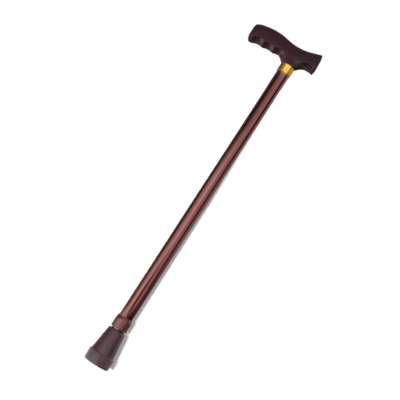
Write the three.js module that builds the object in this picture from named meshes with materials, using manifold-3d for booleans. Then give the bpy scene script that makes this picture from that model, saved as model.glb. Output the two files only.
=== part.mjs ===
// Adjustable walking cane: a T-shaped grip on a two-part telescopic tube with a rubber ferrule.
// Millimetres, +Z up along the shaft, origin at the centre of the ferrule's sole.
// The nose of the grip points to +X, its long arm to -X, and the row of height holes faces +Y.
// The cane stands at its lowest setting, with the lock nut tight.

import * as THREE from 'three';
import { mergeVertices } from 'three/addons/utils/BufferGeometryUtils.js';
import Module from 'manifold-3d';

const wasm = await Module();
wasm.setup();

// Driving dimensions

// Clearances
const seatGap = 0.3; // between pieces that are pressed, bonded or screwed together
const slideGap = 0.3; // between pieces that slide or turn on each other, on the radius
const threadGap = 0.35; // between nut thread and bush thread, on the radius
const overcut = 1; // how far a cutter reaches past the face that it opens

// Fineness of the facets
const facets = 40;
const gripSides = 28;
const gripSections = 24;
const roundSteps = 3;
const bendSteps = 8;
const rowsPerPitch = 4;

// Ferrule
const soleRadius = 23.6;
const soleEdge = 1.2;
const soleThickness = 12;
const bandFlare = 1.1; // the band over the sole's rim, on the radius
const bandTop = 20.2;
const bandStep = 2.4; // from the band in to the foot of the cone
const creaseDepth = 1.9;
const creaseHeight = 2.4;
const ferruleHeight = 68.6;
const ferruleWall = 5.2;
const ferruleLip = 1.4;
const treadCentre = 8;
const treadDepth = 1.5;
const treadGroove = 3;
const treadLand = 3.5;
const discThickness = 1.2;

// Bumper ring on the ferrule, which the loosened nut comes down to
const bumperWall = 1.5;
const bumperHeight = 1.8;

// Tubes
const outerTubeRadius = 12.7;
const outerTubeWall = 1.3;
const outerTubeLength = 561.5;
const innerTubeWall = 1.3;

// Lock nut, its thread and the split ring
const nutRest = 0.3; // between the loosened nut and the bumper ring
const nutTravel = 1;
const nutWall = 0.75; // over the root of its thread
const nutEdge = 0.8;
const nutFloor = 2.5;
const nutCone = 5.8;
const nutMouthWall = 0.7;
const threadPitch = 2;
const threadDepth = 0.55;
const threadLength = 9.5;
const bushWall = 0.6;
const ringHeight = 4.1;
const ringWall = 2;
const ringSlot = 2;

// Height setting
const holePitch = 25.4;
const holeCount = 7;
const lowestHole = 31.8; // above the nut
const buttonRadius = 3.8;
const buttonHoleGap = 0.4;
const buttonProud = 2.3;
const buttonDome = 1.1;
const buttonFlangeRim = 1.2;
const buttonFlange = 1.2;
const rivetRadius = 1.5;
const rivetPast = 0.5; // past the leaf spring that it holds

// Leaf spring behind the button
const leafThickness = 0.6;
const leafWidth = 8;
const leafAboveButton = 7.5;
const leafBelowButton = 42;
const leafStraight = 16;
const leafBendRadius = 3.5;

// Guide plug in the top of the inner tube
const glideAboveLeaf = 5.5;
const glideDepth = 12;
const glideFlange = 2.7;
const glideBore = 6.5;

// Collar ring and the cross pin under it
const collarHeight = 17;
const collarWall = 0.6;
const pinRadius = 1.5;
const pinCover = 4.5; // from the pin down to the collar's lower edge

// Screw, washer and spigot
const screwRadius = 2.5;
const screwHeadRim = 2.1;
const screwHeadHeight = 3;
const screwPoint = 4;
const screwCover = 4.5; // plastic over the screw's point
const screwRecess = 1.2;
const screwRecessWidth = 1.1;
const washerThickness = 1;
const washerRim = 1;
const washerGap = 0.4;
const spigotWall = 3.5;
const spigotInTube = 43;
const spigotInGrip = 23;
const spigotFloorRise = 0.5; // the seat of the washer over the seat of the grip

// Grip
const neckOver = 0.8; // the neck's foot past the collar's face
const neckHeight = 22;
const neckFlare = 24;
const neckSideInset = 1.2;
const gripHalfWidth = 16.5;
const crownSquareness = 3.3;
const bellySquareness = 3.4;
const backRound = 4;
const noseRound = 1.2;
const noseLean = 0.04;
const noseLeanFrom = 8;

// Finger scoops, three on the arm and one on the nose, alike on both sides
const scoopCount = 3;
const scoopPitch = 22;
const scoopHalfLength = 11.2;
const scoopHeight = 8.2;
const scoopRidge = 2.7; // half the ridge that is left between two facing scoops
const scoopRise = 8.8; // their middle over the grip's seat
const scoopFromNeck = 1.9;
const scoopFromBack = 9.3;
const noseScoopHalfLength = 15;
const noseScoopHeight = 9.6;
const noseScoopRise = 10.4;
const noseScoopFromNeck = 5.6;
const noseScoopPastTip = 4.6; // it runs out through the nose's end

// The grip's outline, as [place, height over its seat]. Place runs from -1 at the end of the arm
// over 0 on the shaft's axis to 1 at the tip of the nose.
const crownPoints = [
  [-1, 38.6],
  [-0.89, 42.8],
  [-0.7, 45.8],
  [-0.54, 46.2],
  [-0.38, 44.8],
  [-0.17, 40.6],
  [-0.03, 39.4],
  [0.22, 39.8],
  [0.54, 42.8],
  [1, 49],
];
const bellyPoints = [
  [-1, 5.6],
  [-0.8, 7.8],
  [-0.55, 8.8],
  [-0.28, 9.4],
  [0, 10],
  [0.4, 9.2],
  [0.6, 9.6],
  [1, 9.2],
];

// How much the grip narrows on each side, as [place, narrowing]
const waistPoints = [[-1, 0.7], [-0.6, 0], [-0.05, 0.5], [1, 1]];

// Sizes worked out from the ones above

const outerTubeBore = outerTubeRadius - outerTubeWall;
const innerTubeRadius = outerTubeBore - slideGap;
const innerTubeBore = innerTubeRadius - innerTubeWall;

const ferruleBore = innerTubeRadius + seatGap;
const bandRadius = soleRadius + bandFlare;
const discFoot = soleThickness + seatGap;
const discTop = discFoot + discThickness;
const innerTubeFoot = discTop + seatGap;

const bumperFoot = ferruleHeight + seatGap;
const bumperTop = bumperFoot + bumperHeight;
const nutFoot = bumperTop + nutRest + nutTravel;
const ringFoot = nutFoot + nutFloor + seatGap;
const outerTubeFoot = ringFoot + ringHeight + seatGap;
const outerTubeTop = outerTubeFoot + outerTubeLength;
const bushBore = outerTubeRadius + seatGap;
const threadRoot = bushBore + bushWall;
const threadTop = outerTubeFoot + threadLength;
const nutThreadRoot = threadRoot + threadGap;
const nutChamberTop = threadTop + nutTravel + seatGap;
const nutRadius = nutThreadRoot + threadDepth + nutWall;
const nutTop = nutChamberTop + nutCone;

const buttonHeight = nutTop + lowestHole + (holeCount - 1) * holePitch;
const holeRadius = buttonRadius + buttonHoleGap;
const buttonFlangeRadius = buttonRadius + buttonFlangeRim;
const flangeFace = Math.sqrt((innerTubeBore - slideGap) ** 2 - buttonFlangeRadius ** 2);
const flangeBack = flangeFace - buttonFlange;
const leafTop = buttonHeight + leafAboveButton;
const glideFoot = leafTop + glideAboveLeaf;
const innerTubeTop = glideFoot + glideDepth;

const gripSeat = outerTubeTop + seatGap;
const collarBore = outerTubeRadius + seatGap;
const collarRadius = collarBore + collarWall;
const collarFoot = gripSeat - collarHeight;
const pinHeight = collarFoot + pinCover + pinRadius;

const screwHeadRadius = screwRadius + screwHeadRim;
const screwHole = screwRadius + seatGap;
const washerRadius = screwHeadRadius + washerRim;
const spigotBore = washerRadius + washerGap;
const spigotNeckRadius = spigotBore + spigotWall;
const spigotFloor = gripSeat + spigotFloorRise;
const spigotTop = gripSeat + spigotInGrip;
const washerTop = spigotFloor - seatGap;
const washerFoot = washerTop - washerThickness;
const screwHeadTop = washerFoot - seatGap;

const neckRadius = collarRadius + neckOver;
const firstScoopX = -(neckRadius + scoopFromNeck + scoopHalfLength);
const backX = firstScoopX - (scoopCount - 1) * scoopPitch - scoopHalfLength - scoopFromBack;
const noseScoopX = neckRadius + noseScoopFromNeck + noseScoopHalfLength;
const noseX = noseScoopX + noseScoopHalfLength - noseScoopPastTip;

const crownLine = gripLine(crownPoints, (height) => gripSeat + height);
const bellyLine = gripLine(bellyPoints, (height) => gripSeat + height);
const halfWidthLine = gripLine(waistPoints, (narrowing) => gripHalfWidth - narrowing);
const screwTip = crownLine(0) - screwCover;

// Curves

// Smooth curve through [x, value] points
function curveThrough(points) {
  const last = points.length - 1;
  const slope = (k) => {
    const before = points[Math.max(k - 1, 0)];
    const after = points[Math.min(k + 1, last)];
    return (after[1] - before[1]) / (after[0] - before[0]);
  };
  return (x) => {
    if (x <= points[0][0]) return points[0][1];
    if (x >= points[last][0]) return points[last][1];
    const i = points.findIndex((point) => point[0] > x) - 1;
    const [x0, y0] = points[i];
    const [x1, y1] = points[i + 1];
    const run = x1 - x0;
    const t = (x - x0) / run;
    const u = 1 - t;
    const bend = run * t * u * (slope(i) * u - slope(i + 1) * t);
    return y0 * u * u * (1 + 2 * t) + y1 * t * t * (3 - 2 * t) + bend;
  };
}

// Curve along the grip through [place, size] points
function gripLine(points, value) {
  const atX = (place) => (place < 0 ? -place * backX : place * noseX);
  return curveThrough(points.map(([place, size]) => [atX(place), value(size)]));
}

// Solids and booleans

function toSolid(geometry) {
  const bare = geometry.clone();
  bare.deleteAttribute('normal');
  bare.deleteAttribute('uv');
  const merged = mergeVertices(bare, 1e-4);
  const mesh = new wasm.Mesh({
    numProp: 3,
    vertProperties: new Float32Array(merged.attributes.position.array),
    triVerts: new Uint32Array(merged.index.array),
  });
  return new wasm.Manifold(mesh);
}

function toGeometry(solid) {
  const mesh = solid.getMesh();
  const geometry = new THREE.BufferGeometry();
  geometry.setAttribute('position', new THREE.BufferAttribute(new Float32Array(mesh.vertProperties), 3));
  geometry.setIndex(new THREE.BufferAttribute(new Uint32Array(mesh.triVerts), 1));
  return geometry;
}

function cutAll(geometry, cutters) {
  return toGeometry(cutters.reduce((solid, cutter) => solid.subtract(toSolid(cutter)), toSolid(geometry)));
}

// A closed solid of revolution about Z from a list of [radius, height] points, outside going upwards
function turned(profile, closedLoop = false) {
  const points = profile.map(([radius, z]) => new THREE.Vector2(radius, z));
  if (closedLoop) points.push(points[0].clone());
  const geometry = new THREE.LatheGeometry(points, facets);
  return geometry.rotateX(Math.PI / 2);
}

function tubeSolid(outerRadius, innerRadius, foot, top) {
  return turned([[outerRadius, foot], [outerRadius, top], [innerRadius, top], [innerRadius, foot]], true);
}

function barAlong(axis, radius, from, to, sides = facets / 2) {
  const bar = new THREE.CylinderGeometry(radius, radius, to - from, sides);
  bar.translate(0, (from + to) / 2, 0);
  if (axis === 'x') bar.rotateZ(-Math.PI / 2);
  if (axis === 'z') bar.rotateX(Math.PI / 2);
  return bar;
}

// A closed skin over a list of rings of equal count. Each ring runs anticlockwise seen from above
// as the list climbs. The skin ends in two caps, or the last ring joins the first where loop is set.
function ringSkin(rings, loop = false) {
  const count = rings[0].length;
  const positions = rings.flat(2);
  const index = [];
  const last = loop ? rings.length : rings.length - 1;
  for (let i = 0; i < last; i += 1) {
    const a = i * count;
    const b = ((i + 1) % rings.length) * count;
    for (let j = 0; j < count; j += 1) {
      const k = (j + 1) % count;
      index.push(a + j, a + k, b + k);
      index.push(a + j, b + k, b + j);
    }
  }
  if (!loop) {
    for (const [ring, flip] of [[0, true], [rings.length - 1, false]]) {
      const middle = positions.length / 3;
      const mean = rings[ring].reduce((sum, p) => sum.map((v, i) => v + p[i] / count), [0, 0, 0]);
      positions.push(...mean);
      for (let j = 0; j < count; j += 1) {
        const a = ring * count + j;
        const b = ring * count + ((j + 1) % count);
        index.push(middle, flip ? b : a, flip ? a : b);
      }
    }
  }
  const geometry = new THREE.BufferGeometry();
  geometry.setAttribute('position', new THREE.Float32BufferAttribute(positions, 3));
  geometry.setIndex(index);
  return geometry;
}

// Ring of points at one height whose radii may change round the turn
function ringAt(z, radiusX, radiusY = radiusX) {
  return Array.from({ length: facets }, (_, j) => {
    const angle = (2 * Math.PI * j) / facets;
    return [radiusX(angle) * Math.cos(angle), radiusY(angle) * Math.sin(angle), z];
  });
}

function plainRing(radius, z) {
  return ringAt(z, () => radius);
}

// Right-hand thread with a rounded profile
function threadRings(root, from, to) {
  const steps = Math.max(2, Math.round(((to - from) * rowsPerPitch) / threadPitch));
  return Array.from({ length: steps + 1 }, (_, i) => {
    const z = from + ((to - from) * i) / steps;
    const turn = (2 * Math.PI * (z - outerTubeFoot)) / threadPitch;
    return ringAt(z, (angle) => root + (threadDepth / 2) * (1 - Math.cos(turn - angle)));
  });
}

// Ferrule and its disc

function ferruleShape() {
  const sole = [[0, 0]];
  for (let r = treadCentre; r + treadGroove + treadLand < soleRadius; r += treadGroove + treadLand) {
    sole.push([r, 0], [r, treadDepth], [r + treadGroove, treadDepth], [r + treadGroove, 0]);
  }
  const crease = bandTop + creaseHeight;
  const coneTopRadius = ferruleBore + ferruleWall;
  return turned([
    ...sole,
    [soleRadius, 0],
    [soleRadius + soleEdge / 2, soleEdge],
    [bandRadius, bandTop / 2],
    [bandRadius, bandTop - soleEdge],
    [bandRadius - soleEdge / 2, bandTop],
    [bandRadius - creaseDepth, crease - soleEdge],
    [bandRadius - bandStep, crease],
    [coneTopRadius, ferruleHeight - ferruleLip],
    [coneTopRadius - ferruleLip / 2, ferruleHeight],
    [ferruleBore, ferruleHeight],
    [ferruleBore, soleThickness],
    [0, soleThickness],
  ]);
}

function ferruleDiscShape() {
  return turned([[0, discFoot], [innerTubeRadius, discFoot], [innerTubeRadius, discTop], [0, discTop]]);
}

function bumperRingShape() {
  return tubeSolid(ferruleBore + bumperWall, ferruleBore, bumperFoot, bumperTop);
}

// Inner tube, its guide plug, the button and the leaf spring

function innerTubeShape() {
  const tube = tubeSolid(innerTubeRadius, innerTubeBore, innerTubeFoot, innerTubeTop);
  const hole = barAlong('y', holeRadius, 0, innerTubeRadius + overcut).translate(0, 0, buttonHeight);
  return cutAll(tube, [hole]);
}

function glideBushShape() {
  const flangeFoot = innerTubeTop + seatGap;
  const flangeTop = flangeFoot + glideFlange;
  const plug = innerTubeBore - seatGap;
  return turned([
    [glideBore, glideFoot],
    [plug, glideFoot],
    [plug, flangeFoot],
    [innerTubeRadius, flangeFoot],
    [innerTubeRadius, flangeTop],
    [glideBore, flangeTop],
  ], true);
}

function snapButtonShape() {
  const tip = outerTubeRadius + buttonProud;
  const rivetEnd = flangeBack - seatGap - leafThickness - rivetPast;
  const profile = [
    [0, rivetEnd],
    [rivetRadius, rivetEnd],
    [rivetRadius, flangeBack],
    [buttonFlangeRadius, flangeBack],
    [buttonFlangeRadius, flangeFace],
    [buttonRadius, flangeFace],
  ];
  for (let i = 0; i < roundSteps; i += 1) {
    const angle = (Math.PI / 2) * (i / roundSteps);
    profile.push([buttonRadius * Math.cos(angle), tip - buttonDome * (1 - Math.sin(angle))]);
  }
  profile.push([0, tip]);
  return turned(profile).rotateX(-Math.PI / 2).translate(0, 0, buttonHeight);
}

function leafSpringShape() {
  const halfLeaf = leafThickness / 2;
  const frontY = flangeBack - seatGap - halfLeaf;
  const backReach = Math.sqrt(innerTubeBore ** 2 - (leafWidth / 2) ** 2);
  const backY = -(backReach - seatGap - halfLeaf);
  const bendY = backY + leafBendRadius;
  const bendZ = buttonHeight - leafBelowButton + leafBendRadius;
  const path = [[frontY, leafTop], [frontY, leafTop - leafStraight]];
  for (let i = 0; i <= bendSteps; i += 1) {
    const angle = (Math.PI * i) / bendSteps;
    path.push([bendY + leafBendRadius * Math.cos(angle), bendZ - leafBendRadius * Math.sin(angle)]);
  }
  path.push([backY, leafTop]);
  const side = (sign) => path.map(([y, z], i) => {
    const before = path[Math.max(i - 1, 0)];
    const after = path[Math.min(i + 1, path.length - 1)];
    const run = new THREE.Vector2(after[0] - before[0], after[1] - before[1]).normalize();
    return new THREE.Vector2(y - sign * run.y * halfLeaf, z + sign * run.x * halfLeaf);
  });
  const outline = new THREE.Shape([...side(1), ...side(-1).reverse()]);
  const leaf = new THREE.ExtrudeGeometry(outline, { depth: leafWidth, bevelEnabled: false });
  leaf.translate(0, 0, -leafWidth / 2);
  leaf.rotateX(Math.PI / 2).rotateZ(Math.PI / 2);
  const rivetHole = barAlong('y', rivetRadius + seatGap, 0, innerTubeRadius).translate(0, 0, buttonHeight);
  return cutAll(leaf, [rivetHole]);
}

// Outer tube with its row of holes, and the threaded sleeve on its foot

function pinHoleThrough() {
  const reach = outerTubeRadius + overcut;
  return barAlong('x', pinRadius + seatGap, -reach, reach).translate(0, 0, pinHeight);
}

function outerTubeShape() {
  const tube = tubeSolid(outerTubeRadius, outerTubeBore, outerTubeFoot, outerTubeTop);
  const holes = Array.from({ length: holeCount }, (_, i) => {
    const hole = barAlong('y', holeRadius, 0, outerTubeRadius + overcut);
    return hole.translate(0, 0, buttonHeight - i * holePitch);
  });
  return cutAll(tube, [...holes, pinHoleThrough()]);
}

function threadBushShape() {
  return ringSkin([
    ...threadRings(threadRoot, outerTubeFoot, threadTop),
    plainRing(bushBore, threadTop),
    plainRing(bushBore, outerTubeFoot),
  ], true);
}

function lockNutShape() {
  const mouth = outerTubeRadius + slideGap;
  const floorBore = innerTubeRadius + slideGap;
  const ringRoom = floorBore + ringWall + seatGap;
  return ringSkin([
    plainRing(nutRadius - nutEdge, nutFoot),
    plainRing(nutRadius, nutFoot + nutEdge),
    plainRing(nutRadius, nutChamberTop),
    plainRing(mouth + nutMouthWall, nutTop),
    plainRing(mouth, nutTop),
    plainRing(mouth, nutChamberTop + threadDepth),
    plainRing(nutThreadRoot + threadDepth, nutChamberTop),
    ...threadRings(nutThreadRoot, outerTubeFoot, nutChamberTop - threadDepth / 2).reverse(),
    plainRing(ringRoom, outerTubeFoot - seatGap),
    plainRing(ringRoom, nutFoot + nutFloor),
    plainRing(floorBore, nutFoot + nutFloor),
    plainRing(floorBore, nutFoot),
  ], true);
}

function compressionRingShape() {
  const bore = innerTubeRadius + slideGap;
  const top = ringFoot + ringHeight;
  const ring = turned([
    [bore, ringFoot],
    [bore + ringWall, ringFoot],
    [bore + ringWall, top - ringWall / 2],
    [bore + ringWall / 2, top],
    [bore, top],
  ], true);
  const slot = new THREE.BoxGeometry(2 * (ringWall + overcut), ringSlot, 2 * ringHeight);
  slot.translate(-(bore + ringWall / 2), 0, ringFoot + ringHeight / 2);
  return cutAll(ring, [slot]);
}

// Collar ring, spigot, washer, screw and cross pin

function collarRingShape() {
  return tubeSolid(collarRadius, collarBore, collarFoot, outerTubeTop);
}

function handleSpigotShape() {
  const spigotRadius = outerTubeBore - seatGap;
  const foot = gripSeat - spigotInTube;
  const spigot = turned([
    [spigotBore, foot],
    [spigotRadius, foot],
    [spigotRadius, outerTubeTop],
    [spigotNeckRadius, outerTubeTop],
    [spigotNeckRadius, spigotTop],
    [screwHole, spigotTop],
    [screwHole, spigotFloor],
    [spigotBore, spigotFloor],
  ], true);
  return cutAll(spigot, [pinHoleThrough()]);
}

function screwWasherShape() {
  return tubeSolid(washerRadius, screwHole, washerFoot, washerTop);
}

function handleScrewShape() {
  const headFoot = screwHeadTop - screwHeadHeight;
  const screw = turned([
    [0, headFoot],
    [screwHeadRadius - screwHeadHeight / 2, headFoot],
    [screwHeadRadius, headFoot + screwHeadHeight / 2],
    [screwHeadRadius, screwHeadTop],
    [screwRadius, screwHeadTop],
    [screwRadius, screwTip - screwPoint],
    [0, screwTip],
  ]);
  const slots = [0, Math.PI / 2].map((turn) => {
    const slot = new THREE.BoxGeometry(screwHeadRadius, screwRecessWidth, 2 * screwRecess);
    return slot.rotateZ(turn).translate(0, 0, headFoot);
  });
  return cutAll(screw, slots);
}

function spigotPinShape() {
  const reach = outerTubeRadius - seatGap / 2;
  return barAlong('x', pinRadius, -reach, reach).translate(0, 0, pinHeight);
}

// Grip: a rounded bar along X whose height follows two curves, with a neck and finger scoops

function gripSection(x, inset) {
  const top = crownLine(x);
  const foot = bellyLine(x);
  const half = (top - foot) / 2;
  const middle = (top + foot) / 2;
  const lean = noseLean * Math.max(0, (x - noseLeanFrom) / (noseX - noseLeanFrom));
  return Array.from({ length: gripSides }, (_, j) => {
    const angle = (2 * Math.PI * j) / gripSides;
    const power = 2 / (Math.sin(angle) > 0 ? crownSquareness : bellySquareness);
    const round = (value) => Math.sign(value) * Math.abs(value) ** power;
    const y = (halfWidthLine(x) - inset) * round(Math.cos(angle));
    const z = middle + (half - inset) * round(Math.sin(angle));
    return [x + lean * (middle - z), y, z];
  });
}

// Sections at one end, from its flat face to the full size. Towards is +1 for the end at +X.
function roundedEnd(x, radius, towards) {
  return Array.from({ length: roundSteps }, (_, i) => {
    const angle = (Math.PI / 2) * (i / roundSteps);
    return gripSection(x - towards * radius * (1 - Math.cos(angle)), radius * (1 - Math.sin(angle)));
  });
}

function gripBar() {
  const from = backX + backRound;
  const to = noseX - noseRound;
  const between = Array.from({ length: gripSections + 1 }, (_, i) => {
    return gripSection(from + ((to - from) * i) / gripSections, 0);
  });
  return ringSkin([
    ...roundedEnd(backX, backRound, -1),
    ...between,
    ...roundedEnd(noseX, noseRound, 1).reverse(),
  ]);
}

function neckShape() {
  const sideFlare = gripHalfWidth - neckSideInset - neckRadius;
  return ringSkin([0, 1].map((flare) => {
    const radiusX = () => neckRadius + neckFlare * flare;
    const radiusY = () => neckRadius + sideFlare * flare;
    return ringAt(gripSeat + neckHeight * flare, radiusX, radiusY);
  }));
}

function scoop(x, halfLength, height, rise, side) {
  const ball = new THREE.SphereGeometry(1, facets / 2, gripSides / 2);
  ball.scale(halfLength, gripHalfWidth - scoopRidge, height);
  return ball.translate(x, side * gripHalfWidth, gripSeat + rise);
}

function handleGripShape() {
  const cutters = [];
  for (const side of [-1, 1]) {
    for (let i = 0; i < scoopCount; i += 1) {
      const x = firstScoopX - i * scoopPitch;
      cutters.push(scoop(x, scoopHalfLength, scoopHeight, scoopRise, side));
    }
    cutters.push(scoop(noseScoopX, noseScoopHalfLength, noseScoopHeight, noseScoopRise, side));
  }
  const blank = toGeometry(toSolid(gripBar()).add(toSolid(neckShape())));
  const socket = barAlong('z', spigotNeckRadius + seatGap, gripSeat - overcut, spigotTop + seatGap, facets);
  const pilot = barAlong('z', screwHole, spigotTop, screwTip + seatGap);
  return cutAll(blank, [...cutters, socket, pilot]);
}

// Colours and finishes

function finish(color, roughness, metalness) {
  return () => new THREE.MeshStandardMaterial({ color, roughness, metalness });
}

const bronze = finish(0x6b4340, 0.28, 0.9);
const nutBronze = finish(0x6d4842, 0.4, 0.8);
const bareAluminium = finish(0xb4b4b8, 0.35, 0.9);
const steel = finish(0x9a9a9e, 0.3, 0.95);
const gold = finish(0xe0a838, 0.25, 0.95);
const gripPlastic = finish(0x3d2028, 0.55, 0);
const rubber = finish(0x4e3a3a, 0.8, 0);
const nylon = finish(0xd8d4c8, 0.6, 0);
const blackPlastic = finish(0x242426, 0.6, 0);

const pieces = [
  ['ferrule', ferruleShape, rubber],
  ['ferrule_disc', ferruleDiscShape, steel],
  ['bumper_ring', bumperRingShape, blackPlastic],
  ['inner_tube', innerTubeShape, bareAluminium],
  ['glide_bush', glideBushShape, nylon],
  ['button_spring', leafSpringShape, steel],
  ['snap_button', snapButtonShape, steel],
  ['outer_tube', outerTubeShape, bronze],
  ['thread_bush', threadBushShape, blackPlastic],
  ['lock_nut', lockNutShape, nutBronze],
  ['compression_ring', compressionRingShape, nylon],
  ['collar_ring', collarRingShape, gold],
  ['handle_spigot', handleSpigotShape, blackPlastic],
  ['screw_washer', screwWasherShape, steel],
  ['handle_screw', handleScrewShape, steel],
  ['spigot_pin', spigotPinShape, steel],
  ['handle_grip', handleGripShape, gripPlastic],
];

const cane = new THREE.Group();
for (const [name, shape, material] of pieces) {
  const mesh = new THREE.Mesh(shape(), material());
  mesh.name = name;
  cane.add(mesh);
}

export default cane;
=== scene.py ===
# Looks of the adjustable walking cane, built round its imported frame. Metres, +Z up along the shaft.
# The nose of the grip points to +X, its long arm to -X, and the height holes face +Y.

import math

import bmesh
import bpy
import numpy as np
from mathutils import Matrix, Vector


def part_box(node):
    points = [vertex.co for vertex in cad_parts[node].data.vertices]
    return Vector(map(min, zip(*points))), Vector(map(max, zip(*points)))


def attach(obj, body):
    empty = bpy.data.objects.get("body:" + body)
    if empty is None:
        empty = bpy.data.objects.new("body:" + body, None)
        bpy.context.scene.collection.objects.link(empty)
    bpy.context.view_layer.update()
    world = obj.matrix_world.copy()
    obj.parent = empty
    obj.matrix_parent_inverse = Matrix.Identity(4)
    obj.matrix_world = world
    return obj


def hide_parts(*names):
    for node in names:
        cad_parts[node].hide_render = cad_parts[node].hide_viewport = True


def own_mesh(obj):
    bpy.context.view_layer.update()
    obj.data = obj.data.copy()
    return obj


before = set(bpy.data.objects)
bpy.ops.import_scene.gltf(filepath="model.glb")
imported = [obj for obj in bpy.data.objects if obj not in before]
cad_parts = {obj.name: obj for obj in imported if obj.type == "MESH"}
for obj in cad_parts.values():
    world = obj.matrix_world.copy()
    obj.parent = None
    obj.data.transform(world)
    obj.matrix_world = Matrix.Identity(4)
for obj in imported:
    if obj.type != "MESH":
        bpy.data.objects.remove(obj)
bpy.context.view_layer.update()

MM = 0.001

# Places taken from the frame

def low(node):
    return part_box(node)[0]


def high(node):
    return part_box(node)[1]


def span(node):
    """Foot, top and radius of a turned node."""
    return low(node).z, high(node).z, high(node).x


GRIP_SEAT = low("handle_grip").z
TUBE_FOOT, TUBE_TOP, TUBE_RADIUS = span("outer_tube")
INNER_FOOT, INNER_TOP, INNER_RADIUS = span("inner_tube")
BUTTON_HEIGHT = (low("snap_button").z + high("snap_button").z) / 2
PIN_HEIGHT = (low("spigot_pin").z + high("spigot_pin").z) / 2

# Sizes that the boxes don't give

SEAT_GAP = 0.3 * MM
SLIDE_GAP = 0.3 * MM
TUBE_WALL = 1.3 * MM
HOLE_PITCH = 25.4 * MM
HOLE_COUNT = 7
HOLE_RADIUS = 4.2 * MM
PIN_RADIUS = 1.5 * MM
THREAD_PITCH = 2 * MM
THREAD_DEPTH = 0.55 * MM
BUSH_WALL = 0.6 * MM
THREAD_GAP = 0.35 * MM
NUT_TRAVEL = 1 * MM
CLAMP_WALL = 2 * MM

# How finely round shapes are divided, and a length that counts as none

SIDES = 128
TUBE_SIDES = 96
SMALL_SIDES = 64
PIN_SIDES = 48
CORNER_STEPS = 4
TINY = 1e-7


# Mesh helpers

def new_object(name, vertices, faces, smooth=True):
    mesh = bpy.data.meshes.new(name)
    mesh.from_pydata([tuple(map(float, v)) for v in vertices], [], [tuple(map(int, f)) for f in faces])
    mesh.validate()
    mesh.polygons.foreach_set("use_smooth", [smooth] * len(mesh.polygons))
    mesh.update()
    obj = bpy.data.objects.new(name, mesh)
    bpy.context.scene.collection.objects.link(obj)
    return obj


def sharpen(obj, degrees=32):
    """Marks edges sharper than this angle, so that smooth shading stops at them."""
    bm = bmesh.new()
    bm.from_mesh(obj.data)
    limit = math.radians(degrees)
    for edge in bm.edges:
        edge.smooth = len(edge.link_faces) == 2 and edge.calc_face_angle(0) < limit
    bm.to_mesh(obj.data)
    bm.free()
    return obj


def rounded(points, closed=False):
    """A profile of (radius, height) or (radius, height, rounding) points with its corners rounded.

    A point close to each end of a rounding keeps the smooth shading of the flat sides flat.
    """
    longest_share, margin_share = 0.45, 0.04
    made = []
    count = len(points)
    for i, point in enumerate(points):
        radius = point[2] if len(point) > 2 else 0
        at = Vector(point[:2])
        at_end = not closed and i in (0, count - 1)
        if radius <= 0 or at_end:
            made.append(at)
            continue
        before = Vector(points[i - 1][:2])
        after = Vector(points[(i + 1) % count][:2])
        back, ahead = before - at, after - at
        reach = min(radius, longest_share * back.length, longest_share * ahead.length)
        start = at + back.normalized() * reach
        end = at + ahead.normalized() * reach
        made.append(start + back.normalized() * min(reach / 2, margin_share * back.length))
        for k in range(CORNER_STEPS + 1):
            t = k / CORNER_STEPS
            made.append(start * (1 - t) ** 2 + at * 2 * t * (1 - t) + end * t * t)
        made.append(end + ahead.normalized() * min(reach / 2, margin_share * ahead.length))
    return made


def turned(name, profile, closed=False, sides=SIDES, wave=None):
    """A solid of revolution about Z. The profile goes round with the outside going upwards.

    wave(angle, radius, height) may give each point another radius, as on a thread.
    """
    points = rounded(profile, closed)
    vertices, rows = [], []
    for r, z in points:
        if r < TINY:
            rows.append([len(vertices)] * sides)
            vertices.append((0, 0, z))
            continue
        rows.append(list(range(len(vertices), len(vertices) + sides)))
        for j in range(sides):
            angle = 2 * math.pi * j / sides
            radius = wave(angle, r, z) if wave else r
            vertices.append((radius * math.cos(angle), radius * math.sin(angle), z))
    faces = []
    for i in range(len(rows) - (0 if closed else 1)):
        a, b = rows[i], rows[(i + 1) % len(rows)]
        for j in range(sides):
            k = (j + 1) % sides
            corners = list(dict.fromkeys([a[j], a[k], b[k], b[j]]))
            if len(corners) > 2:
                faces.append(corners)
    return sharpen(new_object(name, vertices, faces))


def cylinder(name, radius, foot, top, edge=0, sides=PIN_SIDES):
    return turned(name, [(0, foot), (radius, foot, edge), (radius, top, edge), (0, top)], sides=sides)


def thread_wave(root, top):
    """Radius of a right-hand thread for the points of a profile that lie between root and top radius."""
    def wave(angle, radius, z):
        if not root - TINY <= radius <= top + TINY:
            return radius
        phase = 2 * math.pi * (z - TUBE_FOOT) / THREAD_PITCH - angle
        return root + (top - root) / 2 * (1 - math.cos(phase))
    return wave


def wall_levels(foot, top, patches, patch_cells):
    """Heights of the rows of a tube's wall: close rows in the patches of holes, and wide ones between."""
    widest = 12 * MM
    levels = sorted({foot, top, *(p[1] for p in patches), *(p[2] for p in patches)})
    rows = []
    for a, b in zip(levels, levels[1:]):
        inside = any(abs(a - p[1]) < TINY for p in patches)
        count = patch_cells if inside else max(1, round((b - a) / widest))
        rows += [a + (b - a) * i / count for i in range(count)]
    return np.array([*rows, top])


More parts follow.
